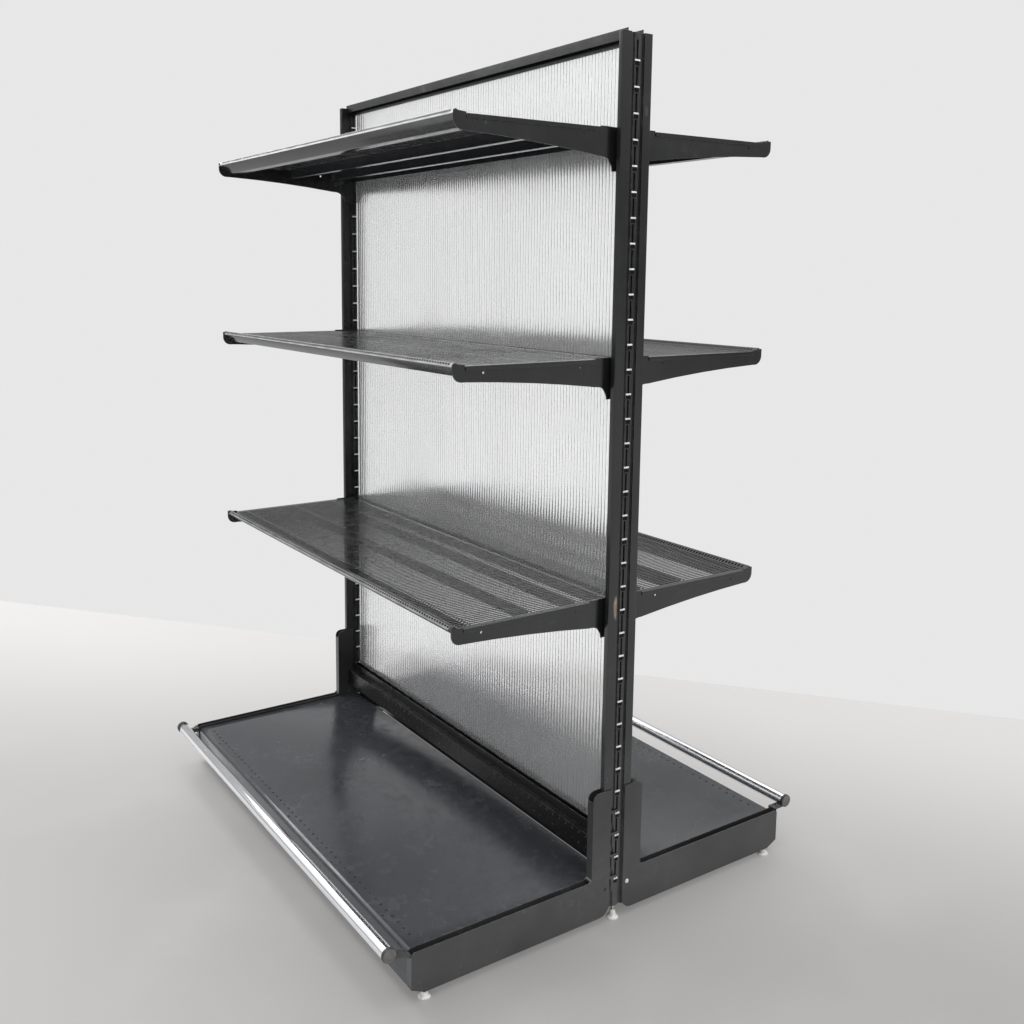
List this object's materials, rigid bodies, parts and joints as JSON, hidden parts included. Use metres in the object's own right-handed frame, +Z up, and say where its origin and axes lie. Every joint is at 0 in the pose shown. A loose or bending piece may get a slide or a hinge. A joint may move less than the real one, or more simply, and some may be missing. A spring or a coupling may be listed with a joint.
{
  "type": "double-sided shop shelving",
  "caption": "Free-standing double-sided gondola with slotted uprights, hooked base legs, base decks, bracketed shelf trays, a clear fluted centre panel and chrome bumper tubes.",
  "frame": {"origin": "on the floor, midway between the two uprights and midway between the two shelf faces", "axes": "+Z up; +X along the bay towards the right upright as seen from the front; -Y is the front face and +Y the back face, which are alike"},
  "size_m": [1.225, 1.133, 1.854],
  "materials": {
    "black_paint": "satin black powder coat, lightly worn",
    "chrome": "polished",
    "dark_plastic": "matte",
    "white_plastic": "matte",
    "clear_plastic": "clear twin-wall sheet with fine vertical flutes"
  },
  "bodies": {
    "frame": {"upright_left": "black_paint", "upright_right": "black_paint", "base_leg_front_left": "black_paint", "bumper_arm_front_left": "black_paint", "bumper_cap_front_left": "dark_plastic", "base_leg_front_right": "black_paint", "bumper_arm_front_right": "black_paint", "bumper_cap_front_right": "dark_plastic", "bumper_tube_front": "chrome", "kick_strip_front": "black_paint", "shelf_bracket_low_front_left": "black_paint", "shelf_bracket_low_front_right": "black_paint", "shelf_bracket_mid_front_left": "black_paint", "shelf_bracket_mid_front_right": "black_paint", "shelf_bracket_top_front_left": "black_paint", "shelf_bracket_top_front_right": "black_paint", "base_leg_back_left": "black_paint", "bumper_arm_back_left": "black_paint", "bumper_cap_back_left": "dark_plastic", "base_leg_back_right": "black_paint", "bumper_arm_back_right": "black_paint", "bumper_cap_back_right": "dark_plastic", "bumper_tube_back": "chrome", "kick_strip_back": "black_paint", "shelf_bracket_low_back_left": "black_paint", "shelf_bracket_low_back_right": "black_paint", "shelf_bracket_mid_back_left": "black_paint", "shelf_bracket_mid_back_right": "black_paint", "shelf_bracket_top_back_left": "black_paint", "shelf_bracket_top_back_right": "black_paint", "top_rail": "black_paint", "bottom_rail": "black_paint", "back_panel": "clear_plastic"},
    "upright_foot_left": {"upright_foot_left": "white_plastic"},
    "upright_foot_right": {"upright_foot_right": "white_plastic"},
    "leg_glide_front_left": {"leg_glide_front_left": "white_plastic"},
    "leg_glide_front_right": {"leg_glide_front_right": "white_plastic"},
    "base_deck_front": {"base_deck_front": "black_paint"},
    "shelf_tray_low_front": {"shelf_tray_low_front": "black_paint"},
    "shelf_tray_mid_front": {"shelf_tray_mid_front": "black_paint"},
    "shelf_tray_top_front": {"shelf_tray_top_front": "black_paint"},
    "leg_glide_back_left": {"leg_glide_back_left": "white_plastic"},
    "leg_glide_back_right": {"leg_glide_back_right": "white_plastic"},
    "base_deck_back": {"base_deck_back": "black_paint"},
    "shelf_tray_low_back": {"shelf_tray_low_back": "black_paint"},
    "shelf_tray_mid_back": {"shelf_tray_mid_back": "black_paint"},
    "shelf_tray_top_back": {"shelf_tray_top_back": "black_paint"}
  },
  "joints": [
    {"name": "turn_upright_foot_left", "type": "hinge", "parent": "frame", "child": "upright_foot_left", "pos_m": [-0.6, 0, 0.013], "axis": [0, 0, 1], "continuous": true},
    {"name": "turn_upright_foot_right", "type": "hinge", "parent": "frame", "child": "upright_foot_right", "pos_m": [0.6, 0, 0.013], "axis": [0, 0, 1], "continuous": true},
    {"name": "turn_leg_glide_front_left", "type": "hinge", "parent": "frame", "child": "leg_glide_front_left", "pos_m": [-0.6, -0.475, 0.007], "axis": [0, 0, 1], "continuous": true},
    {"name": "turn_leg_glide_front_right", "type": "hinge", "parent": "frame", "child": "leg_glide_front_right", "pos_m": [0.6, -0.475, 0.007], "axis": [0, 0, 1], "continuous": true},
    {"name": "lift_base_deck_front", "type": "slide", "parent": "frame", "child": "base_deck_front", "axis": [0, 0, 1], "range_m": [0, 0.03]},
    {"name": "lift_shelf_tray_low_front", "type": "slide", "parent": "frame", "child": "shelf_tray_low_front", "axis": [0, 0, 1], "range_m": [0, 0.12]},
    {"name": "lift_shelf_tray_mid_front", "type": "slide", "parent": "frame", "child": "shelf_tray_mid_front", "axis": [0, 0, 1], "range_m": [0, 0.12]},
    {"name": "lift_shelf_tray_top_front", "type": "slide", "parent": "frame", "child": "shelf_tray_top_front", "axis": [0, 0, 1], "range_m": [0, 0.12]},
    {"name": "turn_leg_glide_back_left", "type": "hinge", "parent": "frame", "child": "leg_glide_back_left", "pos_m": [-0.6, 0.475, 0.007], "axis": [0, 0, 1], "continuous": true},
    {"name": "turn_leg_glide_back_right", "type": "hinge", "parent": "frame", "child": "leg_glide_back_right", "pos_m": [0.6, 0.475, 0.007], "axis": [0, 0, 1], "continuous": true},
    {"name": "lift_base_deck_back", "type": "slide", "parent": "frame", "child": "base_deck_back", "axis": [0, 0, 1], "range_m": [0, 0.03]},
    {"name": "lift_shelf_tray_low_back", "type": "slide", "parent": "frame", "child": "shelf_tray_low_back", "axis": [0, 0, 1], "range_m": [0, 0.12]},
    {"name": "lift_shelf_tray_mid_back", "type": "slide", "parent": "frame", "child": "shelf_tray_mid_back", "axis": [0, 0, 1], "range_m": [0, 0.12]},
    {"name": "lift_shelf_tray_top_back", "type": "slide", "parent": "frame", "child": "shelf_tray_top_back", "axis": [0, 0, 1], "range_m": [0, 0.12]}
  ]
}
